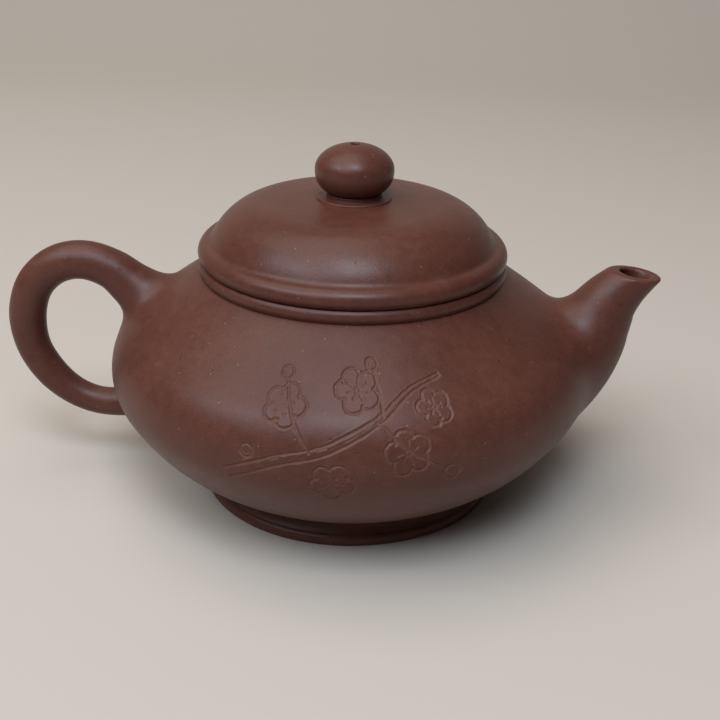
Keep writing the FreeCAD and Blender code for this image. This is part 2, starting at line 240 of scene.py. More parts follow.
# Knife cuts of the carving: half width and depth, and the burr beside them in half widths
CUT_WIDTH = 0.42
CUT_DEPTH = 0.26
LINE_CUT = (CUT_WIDTH, CUT_DEPTH)
TWIG_CUT = (1.15 * CUT_WIDTH, 1.1 * CUT_DEPTH)
BARK_CUT = (0.6 * CUT_WIDTH, 0.5 * CUT_DEPTH)
EYE_CUT = (0.7 * CUT_WIDTH, 0.6 * CUT_DEPTH)
STAMEN_CUT = (0.55 * CUT_WIDTH, 0.5 * CUT_DEPTH)
TIP_CUT = (0.9 * CUT_WIDTH, 0.8 * CUT_DEPTH)
TIP_LENGTH = 0.05
GROOVE_FLARE = 1.5
KNIFE_SHAKE = 0.05
KNIFE_PRESS = 0.18
PRESS_RANGE = (0.6, 1.4)
BURR = 0.05
BURR_PLACE = 1.25
BURR_SPREAD = 0.3
TRACE_REACH = 1.6
CUT_REACH = 2.2
CARVING_SEED = 11


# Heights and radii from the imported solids

def low_and_high(node):
    low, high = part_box(node)
    return np.array(low) / MM, np.array(high) / MM


FOOT_TOP = low_and_high("foot_ring")[1][2]
FOOT_RADIUS = low_and_high("foot_ring")[1][0]
RING_BASE, SEAT = (corner[2] for corner in low_and_high("mouth_ring"))
LID_OUTER = low_and_high("lid_bead")[1][0]
CREASE = low_and_high("lid_bead")[1][2]
FLANGE_BOTTOM = low_and_high("lid_flange")[0][2]
LAND, COLLAR_TOP = (corner[2] for corner in low_and_high("knob_collar"))
KNOB_RADIUS = low_and_high("knob")[1][0]
KNOB_TOP = low_and_high("knob")[1][2]


# Sections of turned pieces

def arc(centre, radius, start, end, step=0.3):
    """Points along an arc between two angles in degrees."""
    count = max(3, int(abs(math.radians(end - start)) * radius / step) + 1)
    angles = np.radians(np.linspace(start, end, count))
    return np.stack([centre[0] + radius * np.cos(angles), centre[1] + radius * np.sin(angles)], 1)


def bearing(centre, point):
    return math.degrees(math.atan2(point[1] - centre[1], point[0] - centre[0]))


def circle_through(a, b, c):
    """Centre and radius of the circle through three points."""
    rows = 2 * np.array([np.subtract(b, a), np.subtract(c, a)])
    squares = [np.dot(b, b) - np.dot(a, a), np.dot(c, c) - np.dot(a, a)]
    centre = np.linalg.solve(rows, squares)
    return centre, math.dist(centre, a)


def tangent_centre(held_centre, held_radius, point, radius, side):
    """Centre of an arc that passes through a point and runs into a held arc."""
    reach = radius - held_radius
    across = math.dist(held_centre, point)
    along = (reach ** 2 - radius ** 2 + across ** 2) / (2 * across)
    off = side * math.sqrt(reach ** 2 - along ** 2)
    unit = np.subtract(point, held_centre) / across
    return np.array([held_centre[0] + along * unit[0] - off * unit[1],
                     held_centre[1] + along * unit[1] + off * unit[0]])


def rounded(corners, step=0.25):
    """Closed outline through corners (radius, height, rounding)."""
    points = [np.array(corner[:2], float) for corner in corners]
    outline = []
    for number, corner in enumerate(corners):
        here = points[number]
        back = points[number - 1] - here
        ahead = points[(number + 1) % len(points)] - here
        back = back / np.linalg.norm(back)
        ahead = ahead / np.linalg.norm(ahead)
        half = math.acos(np.clip(back @ ahead, -1, 1)) / 2
        if corner[2] <= 0:
            outline.append(here[None])
            continue
        reach = corner[2] / math.tan(half)
        start = here + back * reach
        end = here + ahead * reach
        middle = here + (back + ahead) / np.linalg.norm(back + ahead) * corner[2] / math.sin(half)
        first = bearing(middle, start)
        turn = (bearing(middle, end) - first + 180) % 360 - 180
        outline.append(arc(middle, corner[2], first, first + turn, step))
    return np.concatenate(outline)


def spread(points, gap):
    """Points added along the straight runs of an outline, so that no gap is wider than this."""
    result = [points[:1]]
    for a, b in zip(points, points[1:]):
        count = max(1, math.ceil(math.dist(a, b) / gap))
        result.append(a + (b - a) * np.arange(1, count + 1)[:, None] / count)
    return np.concatenate(result)


BELLY_CENTRE = np.array([BELLY_RADIUS - BELLY_ARC, BELLY_HEIGHT])
NECK = np.array([NECK_RADIUS, FOOT_TOP])
RIM = np.array([RING_EDGE, RING_BASE])
UNDER_CENTRE = tangent_centre(BELLY_CENTRE, BELLY_ARC, NECK, UNDER_ARC, -1)
SHOULDER_CENTRE = tangent_centre(BELLY_CENTRE, BELLY_ARC, RIM, SHOULDER_ARC, 1)
LOW_TURN = bearing(UNDER_CENTRE, BELLY_CENTRE)
HIGH_TURN = bearing(SHOULDER_CENTRE, BELLY_CENTRE)


def body_distance(points):
    """Distance from the body's outer surface, below zero inside it."""
    section = np.stack([np.hypot(points[:, 0], points[:, 1]), points[:, 2]], 1)
    from_belly = section - BELLY_CENTRE
    angle = np.degrees(np.arctan2(from_belly[:, 1], from_belly[:, 0]))
    belly = np.linalg.norm(from_belly, axis=1) - BELLY_ARC
    under = np.linalg.norm(section - UNDER_CENTRE, axis=1) - UNDER_ARC
    shoulder = np.linalg.norm(section - SHOULDER_CENTRE, axis=1) - SHOULDER_ARC
    return np.where(angle < LOW_TURN, under, np.where(angle > HIGH_TURN, shoulder, belly))


# Meshes

def handmade(points):
    """Slow unevenness of a hand-beaten pot: two waves, the same for pieces that touch."""
    x, y, z = points.T / HAND_LENGTH
    swell = np.sin(1.9 * x + 0.7 * z + 0.4) * np.cos(1.6 * y - 0.3)
    swell += 0.6 * np.sin(3.1 * y + 2.3 * x + 1.1) * np.cos(2.2 * z + 0.5)
    radius = np.hypot(points[:, 0], points[:, 1])
    outward = points[:, :2] / np.maximum(radius, 1.0)[:, None]
    moved = points.copy()
    moved[:, :2] += outward * (HAND_SWELL * swell * np.minimum(radius / HAND_LENGTH, 1.0))[:, None]
    return moved


def piece(name, points, faces, body, nodes, material, sharp=None):
    """Closed mesh as a piece that rides on a body and stands for CAD nodes."""
    mesh = bpy.data.meshes.new(name)
    mesh.from_pydata((handmade(points) * MM).tolist(), [], faces)
    mesh.validate()
    mesh.shade_smooth()
    if sharp is not None:
        mesh.set_sharp_from_angle(angle=math.radians(sharp))
    mesh.materials.append(material)
    thing = bpy.data.objects.new(name, mesh)
    bpy.context.scene.collection.objects.link(thing)
    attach(thing, body)
    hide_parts(*nodes)
    return thing


def turned(outline, angles, closed=True):
    """Points and faces of an outline turned round the Z axis. A closed outline makes a ring, and
    an open one has both its ends on the axis."""
    around = np.radians(angles)
    rows = outline if closed else outline[1:-1]
    ring = np.stack([np.cos(around), np.sin(around)], 1)
    points = np.empty((len(rows), len(around), 3))
    points[:, :, :2] = rows[:, None, :1] * ring[None]
    points[:, :, 2] = rows[:, 1:]
    count = len(around)
    number = np.arange(len(rows) * count).reshape(len(rows), count)
    beside = np.roll(number, -1, 1)
    above = np.roll(number, -1, 0)
    above_beside = np.roll(above, -1, 1)
    quads = np.stack([number, beside, above_beside, above], -1)
    if not closed:
        quads = quads[:-1]
    faces = quads.reshape(-1, 4).tolist()
    points = points.reshape(-1, 3)
    if not closed:
        bottom, top = len(points), len(points) + 1
        points = np.concatenate([points, [[0, 0, outline[0, 1]], [0, 0, outline[-1, 1]]]])
        faces += [(bottom, int(b), int(a)) for a, b in zip(number[0], beside[0])]
        faces += [(int(a), int(b), top) for a, b in zip(number[-1], beside[-1])]
    return points, faces


def ring_piece(name, outline, body, nodes, material):
    """Piece of a closed outline turned round the Z axis, in steps of a degree."""
    points, faces = turned(outline, np.arange(0.0, 360.0))
    return piece(name, points, faces, body, nodes, material, RING_PIECE_EDGE)


def smooth_min(a, b, width):
    """Lesser of two distances, blended where they differ by less than width."""
    near = np.maximum(width - np.abs(a - b), 0.0) / width
    return np.minimum(a, b) - near ** 3 * width / 6


def smooth_max(a, b, width):
    return -smooth_min(-a, -b, width)


def spline(rows, per_span):
    """Smooth curve through rows of numbers."""
    rows = np.array(rows, float)
    ends = np.concatenate([[2 * rows[0] - rows[1]], rows, [2 * rows[-1] - rows[-2]]])
    share = np.arange(per_span)[:, None] / per_span
    spans = []
    for p, a, b, n in zip(ends, ends[1:], ends[2:], ends[3:]):
        spans.append(0.5 * (2 * a + (b - p) * share + (2 * p - 5 * a + 4 * b - n) * share ** 2
                            + (3 * a - p - 3 * b + n) * share ** 3))
    return np.concatenate(spans + [rows[-1:]])


def middle_line(stations, per_span=6):
    """Points and radii along a tube through stations (x, z, radius)."""
    line = spline(stations, per_span)
    return np.stack([line[:, 0], 0 * line[:, 0], line[:, 1]], 1), line[:, 2]


def tube_distance(stations):
    """Function that gives the distance from a round tube of changing radius."""
    line, radii = middle_line(stations)
    places = np.arange(len(line))

    def near(points):
        """The line's nearest place lies at the low point of a parabola through three of its points."""
        squares = np.sum((points[:, None, :] - line[None]) ** 2, 2)
        nearest = np.clip(np.argmin(squares, axis=1), 1, len(line) - 2)
        row = np.arange(len(points))
        here = squares[row, nearest]
        before = squares[row, nearest - 1]
        after = squares[row, nearest + 1]
        rise = (after - before) / 2
        bend = np.maximum(after + before - 2 * here, LEAST_BEND)
        share = np.clip(-rise / bend, -1, 1)
        gap = np.sqrt(np.maximum(here + rise * share + bend * share ** 2 / 2, 0))
        return gap - np.interp(nearest + share, places, radii)

    def distance(points):
        batches = np.array_split(points, max(1, len(points) // BATCH))
        return np.concatenate([near(batch) for batch in batches])
    return distance


def slope(field, points, value, step=0.02):
    """Gradient of a field that has this value at the points."""
    columns = []
    for shift in np.eye(3) * step:
        columns.append((field(points + shift) - value) / step)
    return np.stack(columns, 1)


def settle(field, points, most, rounds=3):
    """Points moved onto the surface where a field is zero."""
    for _ in range(rounds):
        value = field(points)
        way = slope(field, points, value)
        square = np.maximum(np.sum(way ** 2, 1), LEAST_SLOPE)
        move = (value / square)[:, None] * way
        size = np.maximum(np.linalg.norm(move, axis=1, keepdims=True), TINY)
        points = points - move * np.minimum(1.0, most / size)
    return points


def sampled(field, grid, reach):
    """Field on a grid: every second point first, and the others only where the surface is in reach."""
    coarse = grid[::2, ::2, ::2]
    value = field(coarse.reshape(-1, 3)).reshape(coarse.shape[:3])
    for axis in range(3):
        value = np.repeat(value, 2, axis)
    value = value[tuple(slice(n) for n in grid.shape[:3])].copy()
    near = np.abs(value) < reach
    value[near] = field(grid[near])
    return value


def crossings(value):
    """Where the surface crosses each cell's edges, summed up by cell, and how many edges it crosses."""
    cells = tuple(n - 1 for n in value.shape)
    total = np.zeros(cells + (3,))
    count = np.zeros(cells)
    for axis in range(3):
        others = [a for a in range(3) if a != axis]
        for corner in ((0, 0), (0, 1), (1, 0), (1, 1)):
            first = [0, 0, 0]
            for other, shift in zip(others, corner):
                first[other] = shift
            last = list(first)
            last[axis] = 1
            a = value[tuple(slice(s, s + n) for s, n in zip(first, cells))]
            b = value[tuple(slice(s, s + n) for s, n in zip(last, cells))]
            crossed = (a < 0) != (b < 0)
            share = np.where(crossed, a / np.where(crossed, a - b, 1.0), 0.0)
            place = np.broadcast_to(np.array(first, float), cells + (3,)).copy()
            place[..., axis] += share
            total += place * crossed[..., None]
            count += crossed
    return total, count


def cell_faces(inside, number):
    """Faces between the points of the four cells round each grid edge that the surface crosses."""
    faces = []
    for axis in range(3):
        across, up = (axis + 1) % 3, (axis + 2) % 3
        here = np.moveaxis(inside, (axis, across, up), (0, 1, 2))
        cell = np.moveaxis(number, (axis, across, up), (0, 1, 2))
        a = here[:-1, 1:-1, 1:-1]
        b = here[1:, 1:-1, 1:-1]
        quad = np.stack([cell[:, :-1, :-1], cell[:, 1:, :-1], cell[:, 1:, 1:], cell[:, :-1, 1:]], -1)
        faces.append(quad[a & ~b])
        faces.append(quad[b & ~a][:, ::-1])
    return np.concatenate(faces).tolist()


def skin(field, low, high, step):
    """Closed mesh of the surface where a field is zero, one point for each grid cell it crosses."""
    axes = [np.arange(a, b + step, step) for a, b in zip(low, high)]
    grid = np.stack(np.meshgrid(*axes, indexing="ij"), -1)
    value = sampled(field, grid, SKIN_REACH * step)
    total, count = crossings(value)
    active = count > 0
    number = np.full(count.shape, -1)
    number[active] = np.arange(active.sum())
    points = grid[:-1, :-1, :-1][active] + total[active] / count[active][:, None] * step
    return points, cell_faces(value < 0, number)


def grown(name, shape, low, high, nodes, material):
    """Piece whose shape runs softly into the body: it stands on the body's surface, is sunk a
    little into it, and where it thins out its rim dips under that surface."""
    def whole(points):
        return shape(points, body_distance(points))

    def field(points):
        body = body_distance(points)
        outside = shape(points, body)
        lift = body - outside
        sunk = outside + RIM_DIP * np.maximum(RIM_LIFT - lift, 0)
        return np.maximum(np.maximum(sunk, -(body + EMBED)), FEATHER - lift)

    step = SKIN_STEP
    points, faces = skin(field, low, high, step)
    points = settle(field, points, step / 2)
    thing = piece(name, points, faces, "pot", nodes, material)
    normals = slope(whole, points, whole(points))
    normals /= np.maximum(np.linalg.norm(normals, axis=1, keepdims=True), TINY)
    thing.data.normals_split_custom_set_from_vertices(normals.tolist())
    return thing


# Carving on the belly

def cut(points, width, depth, dice):
    """One cut of the carver's knife: its line, half width and depth, a little uneven by hand."""
    line = np.array(points, float) + dice.normal(0.0, KNIFE_SHAKE, (len(points), 2))
    press = 1.0 + KNIFE_PRESS * dice.normal(0.0, 1.0, len(line))
    return line, width * np.clip(press, *PRESS_RANGE), depth


def ring_of(u, v, radius, start, end, count):
    angles = np.radians(np.linspace(start, end, count))
    return np.stack([u + radius * np.cos(angles), v + radius * np.sin(angles)], 1)


def blossom_cuts(u, v, radius, dice):
    """Five round petals, a small eye and a fan of stamens."""
    turn = dice.uniform(0.0, 360.0 / PETALS)
    cuts = [cut(ring_of(u, v, EYE_ROUND * radius, 0, 360, count=9), *EYE_CUT, dice)]
    for number in range(PETALS):
        way = turn + 360.0 * number / PETALS + dice.normal(0.0, PETAL_TURN_SHAKE)
        out = PETAL_OUT * radius * dice.normal(1.0, PETAL_OUT_SHAKE)
        middle = (u + out * math.cos(math.radians(way)), v + out * math.sin(math.radians(way)))
        lobe = PETAL_ROUND * radius * dice.normal(1.0, PETAL_ROUND_SHAKE)
        edge = ring_of(*middle, lobe, way - PETAL_SWEEP, way + PETAL_SWEEP, count=16)
        cuts.append(cut(edge, *LINE_CUT, dice))
    for number in range(STAMENS):
        way = math.radians(turn + 360.0 * number / STAMENS + dice.normal(0.0, STAMEN_TURN_SHAKE))
        reach = radius * dice.uniform(*STAMEN_REACH)
        tip = np.array([u + reach * math.cos(way), v + reach * math.sin(way)])
        root = np.array([u, v]) + (tip - (u, v)) * STAMEN_ROOT
        cuts.append(cut([root, tip], *STAMEN_CUT, dice))
        cuts.append(cut([tip, tip + TIP_LENGTH], *TIP_CUT, dice))
    return cuts


def branch_cuts(dice):
    """Both edges of the stem, with short ticks of bark, and single cuts for the twigs."""
    line = spline(STEM, CURVE_STEPS)
    along = np.gradient(line[:, :2], axis=0)
    across = np.stack([-along[:, 1], along[:, 0]], 1) / np.linalg.norm(along, axis=1, keepdims=True)
    cuts = []
    for side in (-1, 1):
        cuts.append(cut(line[:, :2] + side * across * line[:, 2:], *LINE_CUT, dice))
    first, spare, every = BARK_SPAN
    for number in range(first, len(line) - spare, every):
        shift = line[number, 2] * dice.uniform(-BARK_SPREAD, BARK_SPREAD)
        start = line[number, :2] + across[number] * shift
        end = start + along[number] * dice.uniform(*BARK_LENGTH)
        cuts.append(cut([start, end], *BARK_CUT, dice))
    for twig in TWIGS:
        cuts.append(cut(spline(twig, CURVE_STEPS), *TWIG_CUT, dice))
    return cuts


def carving_cuts():
    dice = np.random.default_rng(CARVING_SEED)
    cuts = branch_cuts(dice)
    for blossom in BLOSSOMS:
        cuts += blossom_cuts(*blossom, dice)
    for u, v, radius in BUDS:
        cuts.append(cut(ring_of(u, v, radius, 0, 360, count=13), *LINE_CUT, dice))
        cuts.append(cut(ring_of(u, v, BUD_EYE_ROUND * radius, 200, 340, count=6), *EYE_CUT, dice))
    return cuts


def carved(places):
    """How far the surface sinks at each place (u, v), and how strongly it is cut there."""
    sink = np.zeros(len(places))
    trace = np.zeros(len(places))
    for line, widths, depth in carving_cuts():
        margin = CUT_REACH * widths.max()
        inside = np.all((places > line.min(0) - margin) & (places < line.max(0) + margin), axis=1)
        spot = places[inside]
        if not len(spot):
            continue
        start = line[:-1]
        run = line[1:] - start
        offset = spot[:, None] - start[None]
        share = np.clip(np.sum(offset * run, 2) / np.maximum(np.sum(run ** 2, 1), TINY), 0, 1)
        gap = np.linalg.norm(offset - share[..., None] * run, axis=2)
        near = np.min(gap / (widths[:-1] + share * np.diff(widths)), axis=1)
        groove = depth * np.clip(1 - near ** 2, 0, 1) ** GROOVE_FLARE
        rim = BURR * np.exp(-((near - BURR_PLACE) / BURR_SPREAD) ** 2)
        sink[inside] = np.where(groove > sink[inside], groove, sink[inside])
        sink[inside] -= np.where(sink[inside] <= 0, rim, 0)
        trace[inside] = np.maximum(trace[inside], np.clip(TRACE_REACH - near, 0, 1))
    return sink, trace


# Pieces of the pot

def body_rows():
    """Outer section from the foot up to the ring."""
    gap = CARVED_GAP
    under = arc(UNDER_CENTRE, UNDER_ARC, bearing(UNDER_CENTRE, NECK), LOW_TURN, gap)
    belly = arc(BELLY_CENTRE, BELLY_ARC, LOW_TURN, HIGH_TURN, gap)
    shoulder = arc(SHOULDER_CENTRE, SHOULDER_ARC, HIGH_TURN, bearing(SHOULDER_CENTRE, RIM), gap)
    return np.concatenate([under, belly[1:], shoulder[1:]])


def body_turn():
    """Angles round the body, close together where it is carved."""
    fine = math.degrees(CARVED_GAP / BELLY_RADIUS)
    close = np.arange(-CARVED_TURN, CARVED_TURN, fine)
    return FRONT + np.concatenate([close, np.arange(CARVED_TURN, 360.0 - CARVED_TURN, PLAIN_TURN)])


def inner_rows():
    """Inner section from the ceiling down to the floor."""
    floor = FOOT_TOP + WALL
    ceiling = RING_BASE - WALL
    rise = math.degrees(math.asin((ceiling - SHOULDER_CENTRE[1]) / (SHOULDER_ARC - WALL)))
    fall = math.degrees(math.asin((floor - UNDER_CENTRE[1]) / (UNDER_ARC - WALL)))
    shoulder = arc(SHOULDER_CENTRE, SHOULDER_ARC - WALL, rise, HIGH_TURN, step=1.5)
    belly = arc(BELLY_CENTRE, BELLY_ARC - WALL, HIGH_TURN, LOW_TURN, step=1.0)
    under = arc(UNDER_CENTRE, UNDER_ARC - WALL, LOW_TURN, fall, step=1.5)
    return np.concatenate([shoulder, belly[1:], under[1:]])


def carve_rows(points, outer, angles):
    """Sinks the carving into the rows of the outer section, and returns its trace at each point."""
    along = np.gradient(outer, axis=0)
    facing = np.stack([along[:, 1], -along[:, 0]], 1)
    facing /= np.linalg.norm(facing, axis=1, keepdims=True)
    travel = np.concatenate([[0.0], np.cumsum(np.linalg.norm(np.diff(outer, axis=0), axis=1))])
    widest = travel[np.argmax(outer[:, 0])]
    turn = np.radians((angles - FRONT + 180.0) % 360.0 - 180.0)
    places = np.stack(np.meshgrid(turn * BELLY_RADIUS, travel - widest - CARVED_HEIGHT), -1)
    sink, trace = carved(places.reshape(-1, 2))
    around = np.radians(angles)
    ring = np.stack([np.cos(around), np.sin(around)], 1)
    way = np.empty((len(outer), len(angles), 3))
    way[:, :, :2] = facing[:, None, :1] * ring[None]
    way[:, :, 2] = facing[:, 1:]
    marks = np.zeros(len(points))
    marks[:len(sink)] = trace
    points[:len(sink)] -= way.reshape(-1, 3) * sink[:, None]
    return marks


def spout_shape():
    """Function that gives the distance from the body with the spout on it."""
    tube = tube_distance(SPOUT)
    bore = tube_distance(SPOUT_BORE)
    lean = math.radians(SPOUT_MOUTH_LEAN)
    way = np.array([math.cos(lean), 0.0, math.sin(lean)])
    mouth = np.array([SPOUT_MOUTH[0], 0.0, SPOUT_MOUTH[1]])

    def shape(points, body):
        trimmed = smooth_max(tube(points), (points - mouth) @ way, LIP_ROUND)
        whole = smooth_min(body, trimmed, SPOUT_BLEND)
        return smooth_max(whole, -bore(points), BORE_LIP)
    return shape


def handle_shape():
    """Function that gives the distance from the body with the handle on it."""
    tube = tube_distance(HANDLE)

    def shape(points, body):
        share = np.clip((points[:, 2] - HANDLE_BLEND_LOW) / HANDLE_BLEND_RISE, 0, 1)
        blend = HANDLE_FOOT_BLEND + (HANDLE_TOP_BLEND - HANDLE_FOOT_BLEND) * share
        return smooth_min(body, tube(points), blend)
    return shape


def raise_roots(points):
    """Lifts the body's outside where spout and handle begin, so that their rims lie flush on it."""
    for shape, side in ((spout_shape(), 1), (handle_shape(), -1)):
        near = side * points[:, 0] > ROOT_REACH
        spots = points[near]
        flush = body_distance(spots)
        lift = np.clip(flush - shape(spots, flush), 0, ROOT_SWELL)
        points[near] = spots + lift[:, None] * slope(body_distance, spots, flush)


def make_body(material):
    outer = body_rows()
    mouth = np.array([[MOUTH_RADIUS, RING_BASE], [MOUTH_RADIUS, RING_BASE - WALL]])
    axis_low = np.array([[0.0, FOOT_TOP]])
    axis_high = np.array([[0.0, FOOT_TOP + WALL]])
    flat = spread(np.concatenate([outer[-1:], mouth]), gap=1.5)[1:]
    outline = np.concatenate([axis_low, outer, flat, inner_rows(), axis_high])
    angles = body_turn()
    points, faces = turned(outline, angles, closed=False)
    marks = carve_rows(points, outer, angles)
    raise_roots(points[:len(outer) * len(angles)])
    body = piece("pot_body", points, faces, "pot",
                 ("base_disc", "body_wall", "shoulder_disc"), material, BODY_EDGE)
    body.data.attributes.new("carve", "FLOAT", "POINT").data.foreach_set("value", marks)
    return body


def make_spout(material):
    return grown("spout_visual", spout_shape(), SPOUT_LOW, SPOUT_HIGH, ("spout",), material)


def make_handle(material):
    return grown("handle_visual", handle_shape(), HANDLE_LOW, HANDLE_HIGH, ("handle",), material)


def make_mouth_ring(material):
    foot = (RING_EDGE, RING_BASE)
    brow = (RING_EDGE - RING_LEAN, SEAT)
    centre, radius = circle_through(foot, (LID_OUTER, RING_BASE + RING_MIDDLE), brow)
    side = arc(centre, radius, bearing(centre, foot), bearing(centre, brow), step=0.2)
    side = side[side[:, 1] < SEAT - RING_TRIM]
    top = arc((RING_EDGE - RING_TRIM, SEAT - RING_TOP_ROUND), RING_TOP_ROUND, start=20, end=90, step=0.1)
    tongue = RING_EDGE - RING_TONGUE
    sunk = RING_BASE - RING_SINK
    inner = rounded([(MOUTH_RADIUS, SEAT, RING_MOUTH_ROUND), (MOUTH_RADIUS, sunk, 0.0),
                     (tongue, sunk, 0.0), (tongue, SEAT, 0.0)], step=0.12)
    outline = np.concatenate([side, top, inner[:-1]])
    return ring_piece("mouth_ring_visual", outline, "pot", ("mouth_ring",), material)


def make_foot(material):
    contact = (FOOT_CONTACT, 0.0)
    centre, radius = circle_through(contact, (FOOT_RADIUS, FOOT_BEAD_HEIGHT), FOOT_CREASE)
    bead = arc(centre, radius, bearing(centre, contact), bearing(centre, FOOT_CREASE), step=0.15)
    sunk = FOOT_TOP + FOOT_SINK
    rest = np.array([[NECK_RADIUS, sunk], [FOOT_INNER, sunk]])
    inside = rounded([(FOOT_INNER, FOOT_TOP, 0.0), (FOOT_INNER, 0.0, FOOT_INNER_ROUND),
                      (*contact, 0.0)], step=0.15)
    outline = np.concatenate([bead, rest, inside[1:-1]])
    return ring_piece("foot_ring_visual", outline, "pot", ("foot_ring",), material)


# Pieces of the lid

LID_CREASE = (LID_RADIUS, CREASE)
CROWN_CENTRE = np.array([0.0, LAND - math.sqrt(CROWN_ARC ** 2 - LAND_RADIUS ** 2)])
EDGE_CENTRE = tangent_centre(CROWN_CENTRE, CROWN_ARC, LID_CREASE, DOME_EDGE_ARC, 1)
BEAD_CENTRE, BEAD_ROUND = circle_through((BEAD_FOOT, SEAT), (LID_OUTER, SEAT + BEAD_MIDDLE), LID_CREASE)


def lid_section(points):
    """Distance from the dome's edge and the bead, run softly into each other."""
    flat = points[:, [0, 2]]
    dome = np.linalg.norm(flat - EDGE_CENTRE, axis=1) - DOME_EDGE_ARC
    bead = np.linalg.norm(flat - BEAD_CENTRE, axis=1) - BEAD_ROUND
    return smooth_min(dome, bead, CREASE_BLEND)


def softened(outline):
    """Outline of dome or bead with the crease between them rounded."""
    near = np.hypot(outline[:, 0] - LID_RADIUS, outline[:, 1] - CREASE) < CREASE_REACH
    lifted = np.stack([outline[:, 0], 0 * outline[:, 0], outline[:, 1]], 1)
    lifted[near] = settle(lid_section, lifted[near], most=0.5)
    return lifted[:, [0, 2]]


def make_lid_disc(material):
    turn = bearing(CROWN_CENTRE, EDGE_CENTRE)
    edge = arc(EDGE_CENTRE, DOME_EDGE_ARC, bearing(EDGE_CENTRE, LID_CREASE), turn, step=0.2)
    crown = arc(CROWN_CENTRE, CROWN_ARC, turn, bearing(CROWN_CENTRE, (LAND_RADIUS, LAND)), step=0.5)
    dome = softened(np.concatenate([edge, crown[1:]]))
    land = spread(np.concatenate([dome[-1:], [[VENT_RADIUS, LAND]]]), gap=1.0)[1:]
    hollow_top = LAND - LID_WALL
    inner = (VENT_RADIUS, hollow_top)
    outer = (FLANGE_INNER, CREASE)
    centre, radius = circle_through(inner, (HOLLOW_RADIUS, hollow_top - HOLLOW_DROP), outer)
    hollow = arc(centre, radius, bearing(centre, inner), bearing(centre, outer), step=0.7)
    under = np.array([[FLANGE_INNER, SEAT], [LID_RADIUS - DOME_OVERLAP, SEAT]])
    outline = np.concatenate([dome, land, hollow, under])
    return ring_piece("lid_dome", outline, "lid", ("lid_disc",), material)


def make_lid_bead(material):
    first = bearing(BEAD_CENTRE, (BEAD_FOOT, SEAT))
    side = softened(arc(BEAD_CENTRE, BEAD_ROUND, first, bearing(BEAD_CENTRE, LID_CREASE), step=0.12))
    low = SEAT + BEAD_EDGE_ROUND
    side = side[side[:, 1] > low]
    bottom = arc((BEAD_FOOT - BEAD_EDGE_INSET, low), BEAD_EDGE_ROUND, start=-90, end=-10, step=0.1)
    inner = LID_RADIUS - BEAD_OVERLAP
    inside = np.array([[inner, CREASE - BEAD_DROP], [inner, SEAT]])
    outline = np.concatenate([bottom, side, inside])
    return ring_piece("lid_bead_visual", outline, "lid", ("lid_bead",), material)


def make_lid_flange(material):
    outline = rounded([(FLANGE_INNER, FLANGE_BOTTOM, FLANGE_ROUND),
                       (FLANGE_OUTER, FLANGE_BOTTOM, FLANGE_ROUND),
                       (FLANGE_OUTER, SEAT, 0.0), (FLANGE_INNER, SEAT, 0.0)])
    outline = spread(np.concatenate([outline, outline[:1]]), gap=1.5)[:-1]
    return ring_piece("lid_flange_visual", outline, "lid", ("lid_flange",), material)


def make_collar(material):
    step = COLLAR_TOP - NECK_HEIGHT
    upper = COLLAR_RADIUS - COLLAR_STEP
    sunk = LAND - SEAT_SINK
    outline = rounded([(VENT_RADIUS, sunk, 0.0), (COLLAR_RADIUS + COLLAR_SPLAY, sunk, 0.0),
                       (COLLAR_RADIUS, step, COLLAR_EDGE_ROUND), (upper, step, COLLAR_CORNER_ROUND),
                       (upper, COLLAR_TOP, NECK_ROUND), (VENT_RADIUS, COLLAR_TOP, 0.0)], step=0.06)
    outline = spread(np.concatenate([outline, outline[:1]]), gap=1.0)[:-1]
    return ring_piece("knob_collar_visual", outline, "lid", ("knob_collar",), material)


def make_knob(material):
    middle = KNOB_TOP - KNOB_UPPER
    sunk = COLLAR_TOP - SEAT_SINK
    low = (sunk - middle) / KNOB_LOWER
    high = math.sin(math.acos((VENT_RADIUS + VENT_LIP) / KNOB_RADIUS))
    rise = np.sin(np.linspace(math.asin(low), math.asin(high), KNOB_ROWS))
    fullness = np.where(rise < 0, KNOB_LOWER_FULLNESS, KNOB_UPPER_FULLNESS)
    out = (1 - np.abs(rise) ** fullness) ** (1 / fullness)
    half = np.where(rise < 0, KNOB_LOWER, KNOB_UPPER)
    side = np.stack([KNOB_RADIUS * out, middle + half * rise], 1)
    lip = arc((VENT_RADIUS + VENT_LIP, side[-1, 1] - VENT_LIP), VENT_LIP, start=90, end=180, step=0.06)
    vent = np.array([[VENT_RADIUS, middle], [VENT_RADIUS, sunk]])
    outline = np.concatenate([side, lip[1:], vent])
    return ring_piece("knob_visual", outline, "lid", ("knob",), material)


# Clay

def node(tree, kind, settings=None, **sockets):
    """New shader node, with properties and unlinked inputs set."""
    made = tree.nodes.new(kind)
    for key, value in (settings or {}).items():
        setattr(made, key, value)
    for key, value in sockets.items():
        made.inputs[key.replace("_", " ")].default_value = value
    return made


def link(tree, source, output, target, socket):
    tree.links.new(source.outputs[output], target.inputs[socket])


def ranged(tree, source, output, low, high, start=0.3, end=0.7):
    """Output of a texture brought into another range."""
    made = node(tree, "ShaderNodeMapRange", From_Min=start, From_Max=end, To_Min=low, To_Max=high)
    link(tree, source, output, made, "Value")
    return made


def maths(tree, operation, first, second):
    """Two values or node outputs joined by an operation."""
    made = node(tree, "ShaderNodeMath", {"operation": operation})
    for socket, value in zip(made.inputs, (first, second)):
        if isinstance(value, bpy.types.NodeSocket):
            tree.links.new(value, socket)
        else:
            socket.default_value = value
    return made.outputs["Value"]


